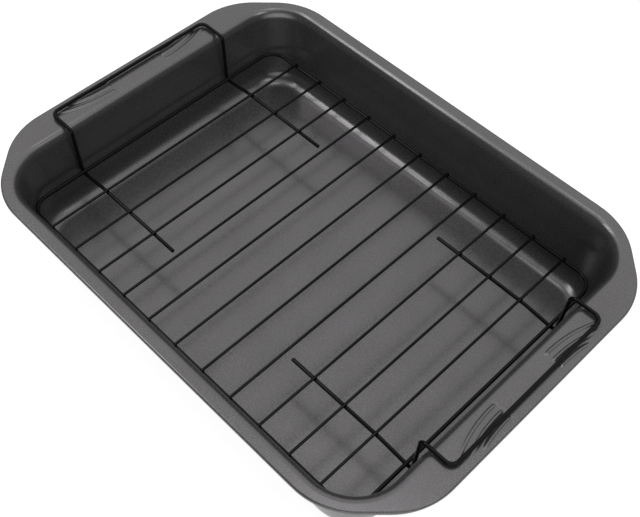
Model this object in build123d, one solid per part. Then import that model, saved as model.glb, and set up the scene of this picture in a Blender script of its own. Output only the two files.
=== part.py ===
from build123d import *
import math
import os

# Roasting pan with a lift-out wire rack, in millimetres.
# +Z is up, X runs along the pan, and the origin is the centre of the pan's base, on its underside.
# The pan is one pressed sheet. The rack is a welded grid that hangs from the pan's two grips.

# Pan: overall size over the flange, and the sheet it is pressed from
pan_length = 434.0
pan_width = 318.0
pan_depth = 72.0
sheet = 0.8

# Pan: flange widths from the mouth to the outer edge, wide at the ends where the hands hold it
end_flange = 27.2
side_flange = 12.2

# Pan: the flange's cut corners, each a short straight between two large arcs
corner_cut_x = 46.0
corner_cut_y = 47.5
corner_arc = 57.0

# Pan: the turned-down lip round the flange, with the bend's radius inside the sheet
lip_drop = 3.0
lip_inner_bend = 0.7

# Pan: walls, their bend from the flange, by its radius on the underside, and the round into the floor
mouth_corner = 39.0
wall_draft_degrees = 7.5
rim_inner_bend = 3.4
floor_round = 14.0

# Grip ridges: three curved ridges in each of four mirrored groups, pressed up from below by a round tool
ridge_tool_radius = 2.2
ridge_height = 0.8
ridge_inset = 8.0
ridge_pitch = 6.2
ridge_start = 28.0
ridge_arc = 108.0
ridge_lengths = (50.0, 40.0, 28.0)
ridge_lead_in = 2.0
ridge_point_shares = (0.0, 0.5, 1.0)

# Rack wires
cross_wire = 2.2
frame_wire = 3.0
handle_wire = 3.0
weld_sink = 0.2

# Rack: how far the cross wires hang below the flange, the room round the frame wire, how far off centre
# the rack rests in the pan, and how far off the grid's middle its frame wire is welded
rack_drop = 38.8
rack_gap_x = 6.0
rack_gap_y = 8.8
frame_corner_share = 0.45
cross_wire_count = 11
rack_rest_x = -0.4
rack_rest_y = -2.5
frame_weld_shift = -0.9

# Rack handles: each one wire, with two legs under the grid and a bar on the grip
handle_half_span = 78.0
bar_inset = 8.6
bar_corner = 6.0
bar_rest_gap = 0.3
arm_bend = 5.0
foot_bend = 4.0
leg_bend = 12.0
riser_gap = 1.0
riser_lean = 1.7
leg_crossings = 3
leg_tail_share = 0.78
leg_ramp_share = 0.8

# One overrun serves every cut
overrun = 5.0

# Places worked out from the sizes
draft = math.radians(wall_draft_degrees)
floor_top = sheet
rim_top = floor_top + pan_depth
lip_outer_bend = lip_inner_bend + sheet
rim_outer_bend = rim_inner_bend + sheet
ridge_radius = ridge_tool_radius + sheet
mouth_half_x = pan_length / 2 - end_flange
mouth_half_y = pan_width / 2 - side_flange
wall_across = sheet / math.cos(draft)

cross_radius = cross_wire / 2
frame_radius = frame_wire / 2
handle_radius = handle_wire / 2

cross_z = rim_top - rack_drop
frame_z = cross_z - cross_radius - frame_radius + weld_sink
wall_inset = (rim_top - frame_z) * math.tan(draft)
frame_half_x = mouth_half_x - wall_inset - rack_gap_x - frame_radius
frame_half_y = mouth_half_y - wall_inset - rack_gap_y - frame_radius
frame_corner = (mouth_corner - wall_inset) * frame_corner_share
cross_pitch = 2 * frame_half_x / (cross_wire_count + 1)

leg_z = cross_z - cross_radius - handle_radius + weld_sink
foot_z = frame_z - frame_radius - handle_radius + weld_sink
arm_z = rim_top + ridge_height + bar_rest_gap + handle_radius
bar_x = pan_length / 2 - bar_inset
foot_x = frame_half_x + frame_radius + riser_gap + handle_radius
outer_cross_x = frame_half_x - cross_pitch
leg_tail_x = outer_cross_x - (leg_crossings - 1 + leg_tail_share) * cross_pitch
ramp_low_x = frame_half_x - frame_radius
ramp_high_x = ramp_low_x - cross_pitch * leg_ramp_share

rack_place = Pos(rack_rest_x, rack_rest_y, 0)


def flange_outline():
    # The flange's outer edge: an eight-cornered outline with every corner rounded by the same arc
    half_x = pan_length / 2
    half_y = pan_width / 2
    quarter = [(half_x, half_y - corner_cut_y), (half_x - corner_cut_x, half_y)]
    points = quarter + [(-x, y) for x, y in reversed(quarter)]
    points = points + [(-x, -y) for x, y in points]
    outline = make_face(Polyline(*points, close=True))
    return fillet(outline.vertices(), corner_arc)


def tub(grow_side, grow_down, bottom_round):
    # A tapered, round-cornered tub below the rim plane, with its floor edge rounded
    outline = RectangleRounded(
        2 * (mouth_half_x + grow_side),
        2 * (mouth_half_y + grow_side),
        mouth_corner + grow_side,
    )
    height = pan_depth + grow_down
    body = extrude(Pos(0, 0, rim_top) * outline, amount=-height, taper=wall_draft_degrees)
    bottom = body.faces().sort_by(Axis.Z)[0]
    return fillet(bottom.edges(), bottom_round)


def flange_block(inset, low_z, high_z, edge_round):
    # A slab in the flange's outline, its upper outer edge rounded
    outline = flange_outline()
    if inset:
        outline = offset(outline, amount=-inset)
    slab = extrude(Pos(0, 0, low_z) * outline, amount=high_z - low_z)
    upper = slab.faces().sort_by(Axis.Z)[-1]
    return fillet(upper.edges(), edge_round)


def mouth_edges(body, level):
    # The edges at one level that lie near the mouth, not near the flange's outer edge
    reach_x = (mouth_half_x + pan_length / 2) / 2
    reach_y = (mouth_half_y + pan_width / 2) / 2
    found = []
    for edge in body.edges():
        box = edge.bounding_box()
        flat = max(level - box.min.Z, box.max.Z - level) < sheet / 2
        inside = max(-box.min.X, box.max.X) < reach_x and max(-box.min.Y, box.max.Y) < reach_y
        if flat and inside:
            found.append(edge)
    return found


def ridge_path(index):
    # A ridge's centre line: one arc, starting square to the grip's middle line and bending outwards
    # while it sinks, so that the ridge narrows to a point where its top meets the flange
    length = ridge_lengths[index]
    start_x = mouth_half_x + ridge_inset + index * ridge_pitch
    start_z = rim_top + ridge_height - ridge_radius
    end_z = rim_top - ridge_radius
    turn = length / ridge_arc
    lean = ridge_lead_in / ridge_arc
    points = []
    for share in ridge_point_shares:
        angle = turn * share - lean
        x = start_x + ridge_arc * (math.cos(lean) - math.cos(angle))
        y = ridge_start + ridge_arc * (math.sin(angle) + math.sin(lean))
        points.append((x, y, start_z + (end_z - start_z) * share))
    return ThreePointArc(*points)


def ridge_tool(index, radius):
    # A bent round bar with a ball at its blunt end
    path = ridge_path(index)
    bar = sweep(Plane(origin=path @ 0, z_dir=path % 0) * Circle(radius), path=path)
    return bar + Pos(*(path @ 0)) * Sphere(radius)


def grip_ridges(radius):
    # The same ridges in all four corners of the flange
    first = [ridge_tool(index, radius) for index in range(len(ridge_lengths))]
    pair = first + [mirror(tool, about=Plane.XZ) for tool in first]
    return pair + [mirror(tool, about=Plane.YZ) for tool in pair]


def make_pan():
    # The sheet: a flange with its lip turned down, and a tub below its mouth
    outer_tub = tub(wall_across, sheet, floor_round + sheet)
    inner_tub = tub(0, 0, floor_round)
    slab = flange_block(0, rim_top - lip_drop, rim_top, lip_outer_bend)
    under = flange_block(sheet, rim_top - lip_drop, rim_top - sheet, lip_inner_bend)
    pan = slab + outer_tub - (under - outer_tub) - inner_tub
    pan = fillet(mouth_edges(pan, rim_top), rim_outer_bend)
    pan = fillet(mouth_edges(pan, rim_top - sheet), rim_inner_bend)
    # The ridges stand above the flange, and the sheet stays as thick under them
    size_x = pan_length + 2 * overrun
    size_y = pan_width + 2 * overrun
    height = ridge_height + overrun
    above = Pos(0, 0, rim_top - sheet / 2) * Box(
        size_x, size_y, height, align=(Align.CENTER, Align.CENTER, Align.MIN)
    )
    for ridge in grip_ridges(ridge_radius):
        pan = pan + (ridge & above)
    for hollow in grip_ridges(ridge_tool_radius):
        pan = pan - hollow
    return pan


def make_handle():
    # The right-hand handle: leg, ramp, riser, arm, bar and back again, in one wire
    side = [
        (leg_tail_x, leg_z),
        (ramp_high_x, leg_z),
        (ramp_low_x, foot_z),
        (foot_x, foot_z),
        (foot_x + riser_lean, arm_z),
        (bar_x, arm_z),
    ]
    near = [(x, -handle_half_span, z) for x, z in side]
    far = [(x, handle_half_span, z) for x, z in reversed(side)]
    bends = [leg_bend, leg_bend, foot_bend, arm_bend, bar_corner]
    path = FilletPolyline(*near, *far, radius=bends + bends[::-1])
    return sweep(Plane(origin=path @ 0, z_dir=path % 0) * Circle(handle_radius), path=path)


def make_frame(handles):
    # The frame wire: a closed round-cornered loop, pressed onto the handle wires where they cross
    loop = RectangleRounded(2 * frame_half_x, 2 * frame_half_y, frame_corner).wire()
    path = Pos(frame_weld_shift, 0, frame_z) * loop
    wire = sweep(Plane(origin=path @ 0, z_dir=path % 0) * Circle(frame_radius), path=path)
    for handle in handles:
        wire = wire - handle
    return wire


def make_cross_wire(index, under):
    # A straight wire from outer edge to outer edge of the frame wire, pressed onto what it crosses
    x = -outer_cross_x + index * cross_pitch
    length = 2 * (frame_half_y + frame_radius)
    wire = Pos(x, 0, cross_z) * Rot(90, 0, 0) * Cylinder(cross_radius, length)
    for other in under:
        wire = wire - other
    return wire


def largest_solid(shape):
    # A notched wire is one solid, and this drops the wrapper that a cut may leave round it
    return max(shape.solids(), key=lambda solid: solid.volume)


os.makedirs("parts", exist_ok=True)

right = make_handle()
left = mirror(right, about=Plane.YZ)
frame = make_frame([left, right])
nodes = {
    "pan": make_pan(),
    "rack_frame_wire": rack_place * frame,
    "rack_handle_left": rack_place * left,
    "rack_handle_right": rack_place * right,
}
for number in range(cross_wire_count):
    name = f"rack_cross_wire_{number + 1:02d}"
    nodes[name] = rack_place * make_cross_wire(number, [frame, left, right])

for name, shape in nodes.items():
    export_step(largest_solid(shape), f"parts/{name}.step")

print("frame wire half sizes and corner", frame_half_x, frame_half_y, frame_corner)
print("cross wire pitch", cross_pitch, "outer cross wire at", outer_cross_x)
print("leg tail at", leg_tail_x, "bar at", bar_x, "arm height", arm_z)
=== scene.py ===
import bpy
import bmesh
import math
from mathutils import Matrix, Vector, noise


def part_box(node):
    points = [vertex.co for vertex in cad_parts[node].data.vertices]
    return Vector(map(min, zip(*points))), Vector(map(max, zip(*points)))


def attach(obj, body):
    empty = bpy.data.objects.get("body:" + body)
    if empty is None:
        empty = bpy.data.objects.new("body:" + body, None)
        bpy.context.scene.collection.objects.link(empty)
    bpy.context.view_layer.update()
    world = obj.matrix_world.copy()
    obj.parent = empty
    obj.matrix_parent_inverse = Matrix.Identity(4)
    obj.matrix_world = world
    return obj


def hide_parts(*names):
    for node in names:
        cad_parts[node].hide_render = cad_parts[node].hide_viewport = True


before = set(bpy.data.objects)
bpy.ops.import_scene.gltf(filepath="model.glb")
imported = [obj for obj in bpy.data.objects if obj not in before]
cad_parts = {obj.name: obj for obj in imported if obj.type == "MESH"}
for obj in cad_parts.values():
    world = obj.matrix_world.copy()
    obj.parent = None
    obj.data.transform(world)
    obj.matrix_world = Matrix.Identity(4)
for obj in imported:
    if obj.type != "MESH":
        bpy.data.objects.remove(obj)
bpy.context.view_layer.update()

# Pan. One steel sheet pressed into a tapered tub with a wide flange, its outer lip turned down, and coated
# all over with speckled satin non-stick. Twelve ridges, pressed up from below, make the two ends into grips.
pan_low, pan_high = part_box("pan")
sheet = 0.0008
ridge_height = 0.0008
rim_top = pan_high.z - ridge_height
end_flange = 0.0272
side_flange = 0.0122
mouth_x = pan_high.x - end_flange
mouth_y = pan_high.y - side_flange
mouth_corner = 0.039
draft = math.radians(7.5)
floor_round = 0.014
rim_bend = 0.0066
rim_ease = 0.012
rim_inset = 0.0016
rim_turn = math.radians(48)
lip_bend = 0.0015
lip_drop = 0.003
corner_cut_x = 0.046
corner_cut_y = 0.0475
corner_arc = 0.057


def mirrored(quarter):
    # A quarter of a loop, from +X round to +Y, becomes the whole loop
    upper = quarter + [tuple(Vector((-v.x, v.y)) for v in row) for row in reversed(quarter[:-1])]
    return upper + [tuple(Vector((v.x, -v.y)) for v in row) for row in reversed(upper[1:-1])]


def mouth_stations():
    # Places round the mouth, each with its outward direction: close together where the ridges lie
    corner_x = mouth_x - mouth_corner
    corner_y = mouth_y - mouth_corner
    fine_from = 0.020
    fine_to = 0.082
    middle_steps = 5
    fine_steps = 62
    end_steps = 8
    corner_steps = 28
    side_steps = 24
    heights = []
    for low, high, steps in (
        (0, fine_from, middle_steps),
        (fine_from, fine_to, fine_steps),
        (fine_to, corner_y, end_steps),
    ):
        heights += [low + (high - low) * step / steps for step in range(steps)]
    quarter = [(Vector((mouth_x, y)), Vector((1, 0))) for y in heights]
    for step in range(corner_steps):
        angle = math.radians(90) * step / corner_steps
        outward = Vector((math.cos(angle), math.sin(angle)))
        quarter.append((Vector((corner_x, corner_y)) + outward * mouth_corner, outward))
    for step in range(side_steps + 1):
        quarter.append((Vector((corner_x * (1 - step / side_steps), mouth_y)), Vector((0, 1))))
    return mirrored(quarter)


mouth = mouth_stations()


def nearest_core(point):
    # The flange's outline lies one corner arc outside an eight-cornered core. This gives the core's nearest
    # point.
    diagonal = Vector((-corner_cut_x, corner_cut_y)).normalized()
    first_turn = math.acos(diagonal.y)
    second_turn = math.acos(-diagonal.x)
    core_x = pan_high.x - corner_arc
    core_y = pan_high.y - corner_arc
    lower = Vector((core_x, pan_high.y - corner_cut_y - corner_arc * math.tan(first_turn / 2)))
    upper = Vector((pan_high.x - corner_cut_x - corner_arc * math.tan(second_turn / 2), core_y))
    folded = Vector((abs(point.x), abs(point.y)))
    along = upper - lower
    share = min(max((folded - lower).dot(along) / along.length_squared, 0), 1)
    places = [
        Vector((core_x, min(folded.y, lower.y))),
        Vector((min(folded.x, upper.x), core_y)),
        lower + along * share,
    ]
    best = min(places, key=lambda place: (place - folded).length)
    return Vector((math.copysign(best.x, point.x), math.copysign(best.y, point.y)))


def lip_stations():
    # Where a straight line out from each place round the mouth meets the flange's outer edge, with the
    # edge's own outward direction there
    closing_steps = 30
    found = []
    for start, outward in mouth:
        point = start.copy()
        for step in range(closing_steps):
            arm = point - nearest_core(point)
            point = point + outward * (corner_arc - arm.length)
        found.append((point, (point - nearest_core(point)).normalized()))
    return found


lip = lip_stations()
ridge_lengths = (0.050, 0.040, 0.028)
ridge_inset = 0.008
ridge_pitch = 0.0062
ridge_start = 0.028
ridge_arc = 0.108
ridge_lead_in = 0.002
ridge_fades = (5, 5, 14)
ridge_foot_half = 0.0021
ridge_narrowest = 0.4
ridge_trough = 0.0002
ridge_trough_width = 0.0012


def eased(share):
    # A soft step from 0 to 1
    share = min(max(share, 0), 1)
    return share * share * (3 - 2 * share)


def ridge_rise(x, y):
    # How far the flange stands up at a place: a ridge with soft flanks, which narrows and sinks towards the
    # far end of its arc, in a faint trough. The higher its number in ridge_fades, the blunter that end is.
    lean = ridge_lead_in / ridge_arc
    rise = 0
    for index, length in enumerate(ridge_lengths):
        start_x = mouth_x + ridge_inset + index * ridge_pitch
        centre = Vector((start_x + ridge_arc * math.cos(lean), ridge_start + ridge_arc * math.sin(lean)))
        arm = Vector((abs(x), abs(y))) - centre
        share = (math.atan2(arm.y, -arm.x) + lean) * ridge_arc / length
        if share < 0:
            away = (Vector((abs(x), abs(y))) - Vector((start_x, ridge_start))).length
        else:
            away = abs(arm.length - ridge_arc)
        fade = 1 - min(max(share, 0), 1) ** ridge_fades[index]
        foot = ridge_foot_half * (ridge_narrowest + (1 - ridge_narrowest) * fade)
        flank = 1 - eased(away / foot)
        trough = 1 - eased((away - foot) / ridge_trough_width)
        rise += fade * ((ridge_height + ridge_trough) * flank - ridge_trough * trough)
    return min(rise, ridge_height)


floor_wave = 0.00006
floor_wave_length = 0.075
floor_wave_fade = 6


def tub_row(outward_by, z):
    # A ring of the tub, by its distance out from the mouth and its height
    return [Vector((p.x + n.x * outward_by, p.y + n.y * outward_by, z)) for p, n in mouth]


def floor_row(edge, share):
    # A ring of the floor between its edge and the line along its middle, very slightly uneven as pressed
    middle = edge[0].x - max(p.y for p in edge)
    points = []
    for p in edge:
        centre = Vector((min(max(p.x, -middle), middle), 0, p.z))
        point = centre.lerp(p, share)
        swell = noise.noise(Vector((point.x, point.y, 0)) / floor_wave_length) + 1
        point.z += floor_wave * swell * (1 - share ** floor_wave_fade)
        points.append(point)
    return points


def flange_row(start_out, lip_in, share, z):
    # A ring of the flange, part of the way from the mouth's bend to the lip's, with the ridges in it
    points = []
    for (p, n), (edge, m) in zip(mouth, lip):
        place = (p + n * start_out).lerp(edge - m * lip_in, share)
        points.append(Vector((place.x, place.y, z + ridge_rise(place.x, place.y))))
    return points


def lip_row(inward_by, z):
    # A ring of the lip, by its distance in from the flange's outer edge and its height
    return [Vector((p.x - m.x * inward_by, p.y - m.y * inward_by, z)) for p, m in lip]


def tub_profile():
    # The upper face from the floor's edge to the flange: places out from the mouth, heights, and how far the
    # face has turned from level. The wall bends over gently before it turns tighter into the flange.
    turn = math.radians(90) - draft
    foot = -(rim_top - sheet) * math.tan(draft)
    edge = foot - floor_round * math.tan(turn / 2)
    round_steps = 9
    wall_steps = 6
    bend_steps = 7
    points = []
    for step in range(round_steps + 1):
        tilt = turn * step / round_steps
        points.append((edge + floor_round * math.sin(tilt), sheet + floor_round * (1 - math.cos(tilt)), tilt))
    drop = rim_bend * (1 - math.cos(rim_turn)) + rim_ease * (math.cos(rim_turn) - math.cos(turn))
    wall_foot = points[-1]
    wall_top = (-rim_inset - drop * math.tan(draft), rim_top - drop)
    for step in range(1, wall_steps):
        out = wall_foot[0] + (wall_top[0] - wall_foot[0]) * step / wall_steps
        height = wall_foot[1] + (wall_top[1] - wall_foot[1]) * step / wall_steps
        points.append((out, height, turn))
    start = wall_top
    for radius, first, last in ((rim_ease, turn, rim_turn), (rim_bend, rim_turn, 0)):
        for step in range(bend_steps + 1):
            tilt = first + (last - first) * step / bend_steps
            out = start[0] + radius * (math.sin(first) - math.sin(tilt))
            height = start[1] + radius * (math.cos(tilt) - math.cos(first))
            if step < bend_steps:
                points.append((out, height, tilt))
        start = (out, height)
    return points + [(out, height, 0)]


def pan_face(depth, flange_steps):
    # The rows of one face of the sheet, from the floor's middle to the lip's lower edge. depth is how far
    # this face lies under the upper one, measured through the sheet.
    floor_steps = 8
    lip_steps = 6
    profile = [(out + depth * math.sin(tilt), z - depth * math.cos(tilt)) for out, z, tilt in tub_profile()]
    edge = tub_row(*profile[0])
    rows = [floor_row(edge, step / floor_steps) for step in range(floor_steps + 1)]
    rows += [tub_row(out, z) for out, z in profile[1:-1]]
    flange_out, flange_z = profile[-1]
    for step in range(flange_steps + 1):
        rows.append(flange_row(flange_out, lip_bend, step / flange_steps, flange_z))
    lip_radius = lip_bend - depth
    for step in range(1, lip_steps + 1):
        angle = math.radians(90) * step / lip_steps
        inward_by = lip_bend - lip_radius * math.sin(angle)
        rows.append(lip_row(inward_by, flange_z - lip_radius * (1 - math.cos(angle))))
    return rows


def skin(name, rows, closed_rows):
    # A mesh over rows of points, where each row is a closed loop. Points that fall together become one.
    same_place = 0.000001
    around = len(rows[0])
    points = [point for row in rows for point in row]
    faces = []
    last = len(rows) if closed_rows else len(rows) - 1
    for row in range(last):
        here = row * around
        there = (row + 1) % len(rows) * around
        for place in range(around):
            after = (place + 1) % around
            faces.append((here + place, here + after, there + after, there + place))
    mesh = bpy.data.meshes.new(name)
    mesh.from_pydata(points, [], faces)
    work = bmesh.new()
    work.from_mesh(mesh)
    bmesh.ops.remove_doubles(work, verts=work.verts, dist=same_place)
    bmesh.ops.recalc_face_normals(work, faces=work.faces)
    for face in work.faces:
        face.smooth = True
    work.to_mesh(mesh)
    work.free()
    piece = bpy.data.objects.new(name, mesh)
    bpy.context.scene.collection.objects.link(piece)
    return piece


upper_flange_steps = 58
under_flange_steps = 24
upper = pan_face(0, upper_flange_steps)
under = pan_face(sheet, under_flange_steps)
hem_steps = 4
hem_z = rim_top - lip_drop + sheet / 2
hem = []
for step in range(hem_steps + 1):
    angle = math.pi * step / hem_steps
    hem.append(lip_row(sheet / 2 - math.cos(angle) * sheet / 2, hem_z - math.sin(angle) * sheet / 2))
pan = skin("pan_sheet", upper + hem + under[::-1], False)


class Socket:
    # One output in a material's node tree. Sums and products of values add their Math nodes.
    def __init__(self, tree, output=None):
        self.tree = tree
        self.output = output

    def add(self, kind, settings={}, inputs={}, output=0):
        # Any node: its settings, then the values or links of its sockets
        node = self.tree.nodes.new(kind)
        for name, value in settings.items():
            setattr(node, name, value)
        for name, value in inputs.items():
            if isinstance(value, Socket):
                self.tree.links.new(value.output, node.inputs[name])
            else:
                node.inputs[name].default_value = value
        return Socket(self.tree, node.outputs[output])

    def math(self, operation, first, second):
        return self.add("ShaderNodeMath", {"operation": operation}, {0: first, 1: second})

    def __add__(self, other):
        return self.math("ADD", self, other)

    def __radd__(self, other):
        return self.math("ADD", other, self)

    def __mul__(self, other):
        return self.math("MULTIPLY", self, other)

    def __rmul__(self, other):
        return self.math("MULTIPLY", other, self)


def new_material(name):
    # An empty material, with a socket to start its nodes from and its Principled shader's node
    material = bpy.data.materials.new(name)
    material.use_nodes = True
    tree = material.node_tree
    shader = tree.nodes["Principled BSDF"]
    return material, Socket(tree), shader


def connect(shader, links):
    # Feed sockets of a shader from the material's nodes
    for name, socket in links.items():
        socket.tree.links.new(socket.output, shader.inputs[name])


def pan_coating():
    # Dark grey satin non-stick: fine metallic speckle, faint cloudiness from spraying, slight orange peel
    darkest = (0.062, 0.060, 0.062, 1)
    lightest = (0.198, 0.192, 0.197, 1)
    speckle_share = 0.75
    cloud_dulling = 0.03
    material, start, shader = new_material("pan_coating_satin")
    place = start.add("ShaderNodeTexCoord", output="Object")
    speckle = start.add(
        "ShaderNodeTexNoise",
        inputs={"Vector": place, "Scale": 1900, "Detail": 3, "Roughness": 0.65},
    )
    cloud = start.add(
        "ShaderNodeTexNoise",
        inputs={"Vector": place, "Scale": 22, "Detail": 3, "Roughness": 0.5},
    )
    peel = start.add("ShaderNodeTexNoise", inputs={"Vector": place, "Scale": 900, "Detail": 1})
    tone = speckle * speckle_share + cloud * (1 - speckle_share)
    colour = start.add("ShaderNodeMix", {"data_type": "RGBA"}, {0: tone, 6: darkest, 7: lightest}, output=2)
    flakes = start.add(
        "ShaderNodeMapRange",
        {"interpolation_type": "SMOOTHSTEP"},
        {"Value": speckle, "From Min": 0.47, "From Max": 0.59, "To Min": 0.18, "To Max": 0.32},
    )
    rough = flakes + cloud * cloud_dulling
    bump = start.add("ShaderNodeBump", inputs={"Strength": 0.04, "Distance": 0.0001, "Height": peel})
    shader.inputs["Metallic"].default_value = 0.7
    connect(shader, {"Base Color": colour, "Roughness": rough, "Normal": bump})
    return material


pan.data.materials.append(pan_coating())
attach(pan, "pan")
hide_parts("pan")

# Frame wire of the rack. A closed loop of drawn steel wire with round corners, coated near black. The cross
# wires are welded on top of it, and the handles' feet below it.
frame_low, frame_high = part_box("rack_frame_wire")
frame_radius = (frame_high.z - frame_low.z) / 2
frame_z = (frame_high.z + frame_low.z) / 2
frame_middle_x = (frame_high.x + frame_low.x) / 2
rack_y = (frame_high.y + frame_low.y) / 2
frame_x = (frame_high.x - frame_low.x) / 2 - frame_radius
frame_y = (frame_high.y - frame_low.y) / 2 - frame_radius
frame_corner = 0.015


def bent(corners, radii):
    # A wire's centre line: straight runs between corners, and an arc of its own radius at each corner
    widest_step = math.radians(9)
    fewest_steps = 4
    points = [corners[0]]
    for before, corner, after, radius in zip(corners, corners[1:], corners[2:], radii):
        back = (before - corner).normalized()
        ahead = (after - corner).normalized()
        half = back.angle(ahead) / 2
        centre = corner + (back + ahead).normalized() * (radius / math.sin(half))
        first = corner + back * (radius / math.tan(half)) - centre
        last = corner + ahead * (radius / math.tan(half)) - centre
        turn = first.angle(last)
        steps = max(fewest_steps, math.ceil(turn / widest_step))
        for step in range(steps + 1):
            share = step / steps
            arm = first * math.sin((1 - share) * turn) + last * math.sin(share * turn)
            points.append(centre + arm / math.sin(turn))
    points.append(corners[-1])
    return points


def wire(name, points, radius, closed=False):
    # A round wire along a line of points. The coating rounds its open ends, over a share of the radius.
    sides = 20
    end_share = 0.6
    end_rings = 5
    smallest_ring = 0.01
    count = len(points)
    if closed:
        steps = [(points[(i + 1) % count] - points[i - 1]).normalized() for i in range(count)]
        sizes = [1] * count
    else:
        shares = [1 - math.cos(math.radians(90) * i / end_rings) for i in range(end_rings)]
        first = (points[1] - points[0]).normalized()
        last = (points[-1] - points[-2]).normalized()
        head = [points[0] + first * (radius * end_share * share) for share in shares]
        tail = [points[-1] - last * (radius * end_share * share) for share in shares]
        end_sizes = [math.sqrt(max(1 - (1 - share) ** 2, smallest_ring ** 2)) for share in shares]
        start = points[0] + first * (radius * end_share)
        stop = points[-1] - last * (radius * end_share)
        points = head + [start] + points[1:-1] + [stop] + tail[::-1]
        sizes = end_sizes + [1] * (len(points) - 2 * end_rings) + end_sizes[::-1]
        count = len(points)
        steps = []
        for i in range(count):
            ahead = points[min(i + 1, count - 1)] - points[i]
            behind = points[i] - points[max(i - 1, 0)]
            steps.append((ahead.normalized() + behind.normalized()).normalized())
    side = steps[0].orthogonal().normalized()
    rows = []
    for point, direction, size in zip(points, steps, sizes):
        side = (side - direction * side.dot(direction)).normalized()
        other = direction.cross(side)
        row = []
        for i in range(sides):
            angle = 2 * math.pi * i / sides
            row.append(point + (side * math.cos(angle) + other * math.sin(angle)) * (radius * size))
        rows.append(row)
    return skin(name, rows, closed)


def frame_line():
    # The loop starts and ends in the middle of one side, where nothing bends
    corners = [Vector((frame_middle_x, rack_y - frame_y, frame_z))]
    for x, y in ((1, -1), (1, 1), (-1, 1), (-1, -1)):
        corners.append(Vector((frame_middle_x + x * frame_x, rack_y + y * frame_y, frame_z)))
    corners.append(corners[0])
    return bent(corners, [frame_corner] * 4)[:-1]


def wire_coating():
    # Near-black coating on wire: smooth satin, a little uneven in gloss where it flowed and hardened
    darkest = (0.002, 0.002, 0.0023, 1)
    lightest = (0.008, 0.008, 0.0088, 1)
    smoothest = 0.10
    grain_dulling = 0.05
    flow_dulling = 0.06
    material, start, shader = new_material("rack_coating_black")
    place = start.add("ShaderNodeTexCoord", output="Object")
    grain = start.add("ShaderNodeTexNoise", inputs={"Vector": place, "Scale": 1600, "Detail": 2})
    flow = start.add("ShaderNodeTexNoise", inputs={"Vector": place, "Scale": 140, "Detail": 2})
    colour = start.add("ShaderNodeMix", {"data_type": "RGBA"}, {0: grain, 6: darkest, 7: lightest}, output=2)
    rough = smoothest + grain * grain_dulling + flow * flow_dulling
    bump = start.add("ShaderNodeBump", inputs={"Strength": 0.15, "Distance": 0.0001, "Height": flow})
    shader.inputs["Specular IOR Level"].default_value = 0.12
    connect(shader, {"Base Color": colour, "Roughness": rough, "Normal": bump})
    return material


black = wire_coating()


def dress_wire(piece, node):
    # Coat one wire of the rack, and put it in the place of its solid
    piece.data.materials.append(black)
    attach(piece, "rack")
    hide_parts(node)


dress_wire(wire("frame_wire", frame_line(), frame_radius, closed=True), "rack_frame_wire")

# Handles of the rack. Each is one wire: two legs welded under the grid, two risers up the end wall, and a bar
# that lies across the grip and carries the rack.
cross_low, cross_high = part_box("rack_cross_wire_01")
cross_radius = (cross_high.z - cross_low.z) / 2
cross_z = (cross_high.z + cross_low.z) / 2
cross_count = sum(1 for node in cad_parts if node.startswith("rack_cross_wire"))
left_low, left_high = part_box("rack_handle_left")
right_low, right_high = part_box("rack_handle_right")
rack_x = (left_low.x + right_high.x) / 2
cross_pitch = (rack_x - (cross_high.x + cross_low.x) / 2) * 2 / (cross_count - 1)
weld_sink = 0.0002
riser_gap = 0.001
riser_lean = 0.0017
bar_corner = 0.006
arm_bend = 0.005
foot_bend = 0.004
leg_bend = 0.012
leg_ramp_share = 0.8


def handle_line(low, high, sign):
    # From one leg's cut end round to the other's, at the end of the pan that sign gives
    radius = frame_radius
    tail_x = min(abs(low.x - rack_x), abs(high.x - rack_x))
    bar_x = max(abs(low.x - rack_x), abs(high.x - rack_x)) - radius
    foot_z = low.z + radius
    arm_z = high.z - radius
    leg_z = cross_z - cross_radius - radius + weld_sink
    ramp_low = frame_x - frame_radius
    ramp_high = ramp_low - cross_pitch * leg_ramp_share
    foot_x = frame_x + frame_radius + riser_gap + radius
    side = [(tail_x, leg_z), (ramp_high, leg_z), (ramp_low, foot_z), (foot_x, foot_z)]
    side += [(foot_x + riser_lean, arm_z), (bar_x, arm_z)]
    near = [Vector((rack_x + sign * x, low.y + radius, z)) for x, z in side]
    far = [Vector((rack_x + sign * x, high.y - radius, z)) for x, z in reversed(side)]
    bends = [leg_bend, leg_bend, foot_bend, arm_bend, bar_corner]
    return bent(near + far, bends + bends[::-1])


left_line = handle_line(left_low, left_high, -1)
right_line = handle_line(right_low, right_high, 1)
dress_wire(wire("handle_wire_left", left_line, frame_radius), "rack_handle_left")
dress_wire(wire("handle_wire_right", right_line, frame_radius), "rack_handle_right")

# Cross wires. Straight lengths of thinner wire, cut off level with the frame wire's outer edge and resistance
# welded across its top.
for number in range(cross_count):
    node = f"rack_cross_wire_{number + 1:02d}"
    low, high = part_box(node)
    middle = (low + high) / 2
    line = [Vector((middle.x, y, middle.z)) for y in (low.y, high.y)]
    dress_wire(wire(f"cross_wire_{number + 1:02d}", line, cross_radius), node)

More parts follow.
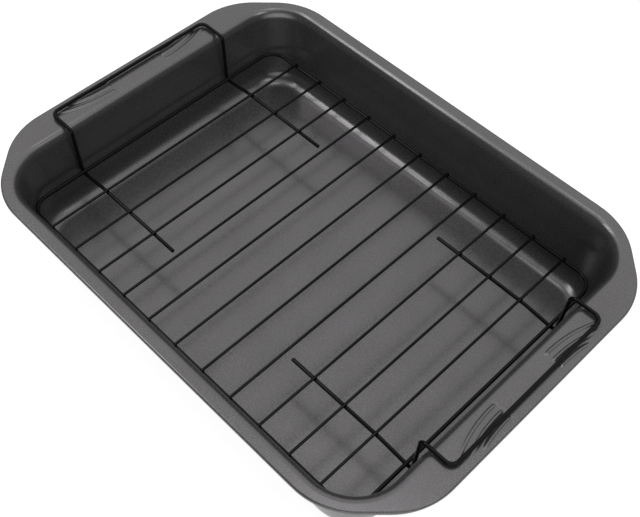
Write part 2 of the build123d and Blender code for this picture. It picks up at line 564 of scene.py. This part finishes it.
# Welds of the rack. Resistance welding sinks crossing wires a little into one another, and leaves a small
# waisted fillet of steel round each contact, coated like the wires.
weld_waist = 0.0010
weld_flare = 0.0006
weld_half_height = 0.0009
frame_contact_z = (frame_z + frame_radius + cross_z - cross_radius) / 2
foot_z = left_low.z + frame_radius
leg_z = cross_z - cross_radius - frame_radius + weld_sink
leg_rows = (left_low.y + frame_radius, left_high.y - frame_radius)
cross_places = [rack_x + (number - (cross_count - 1) / 2) * cross_pitch for number in range(cross_count)]
leg_crossings = 3
weld_places = []
for number, x in enumerate(cross_places):
    weld_places += [Vector((x, rack_y + side * frame_y, frame_contact_z)) for side in (-1, 1)]
    if number < leg_crossings or number >= cross_count - leg_crossings:
        weld_places += [Vector((x, y, frame_contact_z)) for y in leg_rows]
for x in (frame_middle_x - frame_x, frame_middle_x + frame_x):
    weld_places += [Vector((x, y, (frame_z + foot_z) / 2)) for y in leg_rows]


def weld_fillets(places):
    # Every fillet is a short waisted ring of faces, whose two wider ends lie inside the wires
    around = 16
    levels = 7
    points = []
    faces = []
    for place in places:
        start = len(points)
        for level in range(levels):
            share = 2 * level / (levels - 1) - 1
            radius = weld_waist + weld_flare * share * share
            for step in range(around):
                angle = 2 * math.pi * step / around
                x = math.cos(angle) * radius
                y = math.sin(angle) * radius
                points.append(place + Vector((x, y, share * weld_half_height)))
        for level in range(levels - 1):
            here = start + level * around
            for step in range(around):
                after = (step + 1) % around
                faces.append((here + step, here + after, here + around + after, here + around + step))
    mesh = bpy.data.meshes.new("weld_fillets")
    mesh.from_pydata(points, [], faces)
    mesh.polygons.foreach_set("use_smooth", [True] * len(faces))
    piece = bpy.data.objects.new("weld_fillets", mesh)
    bpy.context.scene.collection.objects.link(piece)
    return piece


welds = weld_fillets(weld_places)
welds.data.materials.append(black)
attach(welds, "rack")

# Floor and backdrop. One wide white sheet, on which the pan stands. It shows white in the coating's gloss
# too, and keeps the pan's faint shadow.
floor_reach = 20
floor_gap = 0.0002
floor_corners = [(x * floor_reach, y * floor_reach, 0) for x, y in ((-1, -1), (1, -1), (1, 1), (-1, 1))]
floor_mesh = bpy.data.meshes.new("studio_floor")
floor_mesh.from_pydata(floor_corners, [], [(0, 1, 2, 3)])
floor = bpy.data.objects.new("studio_floor", floor_mesh)
bpy.context.scene.collection.objects.link(floor)
floor.location.z = pan_low.z - floor_gap


def studio_white():
    # Matt, so that the shadow shows, with a glow that only the camera, gloss and glass see
    matt_grey = (0.32, 0.32, 0.32, 1)
    glow_strength = 0.88
    material = bpy.data.materials.new("studio_white")
    material.use_nodes = True
    tree = material.node_tree
    tree.nodes.clear()
    start = Socket(tree)
    seen = start.add("ShaderNodeLightPath", output="Is Camera Ray")
    gloss = start.add("ShaderNodeLightPath", output="Is Glossy Ray")
    through = start.add("ShaderNodeLightPath", output="Is Transmission Ray")
    matt = start.add("ShaderNodeBsdfDiffuse", inputs={"Color": matt_grey})
    glow = start.add("ShaderNodeEmission", inputs={"Strength": (seen + gloss + through) * glow_strength})
    both = start.add("ShaderNodeAddShader", inputs={0: matt, 1: glow})
    surface = tree.nodes.new("ShaderNodeOutputMaterial").inputs["Surface"]
    tree.links.new(both.output, surface)
    return material


floor_mesh.materials.append(studio_white())

# Light. A dim grey room with a wide soft ceiling that leans to the back and a low glow from the near right,
# and four round soft lamps: one overhead, two from the left and one from the right.
room_level = 0.08
world = bpy.data.worlds.new("studio_room")
bpy.context.scene.world = world
world.use_nodes = True
room = Socket(world.node_tree)


def toward(azimuth, elevation):
    # A direction, by its angle round from +X and its angle up from the floor
    across = math.cos(math.radians(elevation))
    x = across * math.cos(math.radians(azimuth))
    y = across * math.sin(math.radians(azimuth))
    return Vector((x, y, math.sin(math.radians(elevation))))


where = room.add("ShaderNodeTexCoord", output="Generated")


def glow_toward(direction, edge, core, strength):
    # A soft round glow in the room, full out to the angle core and gone at the angle edge, in degrees
    nearness = room.add(
        "ShaderNodeVectorMath",
        {"operation": "DOT_PRODUCT"},
        {0: where, 1: direction},
        output="Value",
    )
    ends = {"From Min": math.cos(math.radians(edge)), "From Max": math.cos(math.radians(core))}
    return room.add(
        "ShaderNodeMapRange",
        {"interpolation_type": "SMOOTHSTEP"},
        {"Value": nearness, "To Min": 0, "To Max": strength, **ends},
    )


ceiling = glow_toward(toward(108, 62), edge=66, core=42, strength=0.94)
ceiling = ceiling * glow_toward(toward(0, 90), edge=78, core=57, strength=1)
level = room_level + ceiling + glow_toward(toward(312, 4), edge=44, core=12, strength=1.7)
glow = world.node_tree.nodes["Background"]
glow.inputs["Color"].default_value = (1, 1, 1, 1)
world.node_tree.links.new(level.output, glow.inputs["Strength"])


def lamp(name, azimuth, elevation, width, radiance):
    # A round soft lamp, aimed at the pan from far off. width is its width in degrees, seen from the pan.
    away = 2.2
    data = bpy.data.lights.new(name, "AREA")
    data.shape = "DISK"
    data.size = 2 * away * math.tan(math.radians(width / 2))
    data.energy = radiance * math.pi * math.pi * data.size ** 2 / 4
    light = bpy.data.objects.new(name, data)
    bpy.context.scene.collection.objects.link(light)
    middle = Vector((0, 0, rim_top / 2))
    light.location = middle + toward(azimuth, elevation) * away
    light.rotation_euler = (middle - light.location).to_track_quat("-Z", "Y").to_euler()


lamp("lamp_overhead", azimuth=125, elevation=80, width=14, radiance=2.4)
lamp("lamp_left_high", azimuth=196, elevation=61, width=15, radiance=3.7)
lamp("lamp_left_low", azimuth=218, elevation=50, width=17, radiance=4.8)
lamp("lamp_right", azimuth=4, elevation=53, width=19, radiance=3.2)

# Camera. It looks down at the pan from the near right, at the photograph's viewing angle, with the slight
# roll and shift that the photograph's framing needs.
camera_data = bpy.data.cameras.new("camera")
camera_data.sensor_width = 36
camera_data.lens = 55.42
camera_data.shift_x = 0.0046
camera_data.clip_start = 0.01
camera = bpy.data.objects.new("camera", camera_data)
bpy.context.scene.collection.objects.link(camera)
camera_side = toward(-45.861, 53.99)
camera_roll = math.radians(1.597)
camera_distance = 0.70088
target = Vector((0.035569, -0.02751, rim_top))
turned = (-camera_side).to_track_quat("-Z", "Y").to_matrix().to_4x4() @ Matrix.Rotation(camera_roll, 4, "Z")
camera.matrix_world = Matrix.Translation(target + camera_side * camera_distance) @ turned
bpy.context.scene.camera = camera
bpy.context.scene.view_settings.view_transform = "Standard"
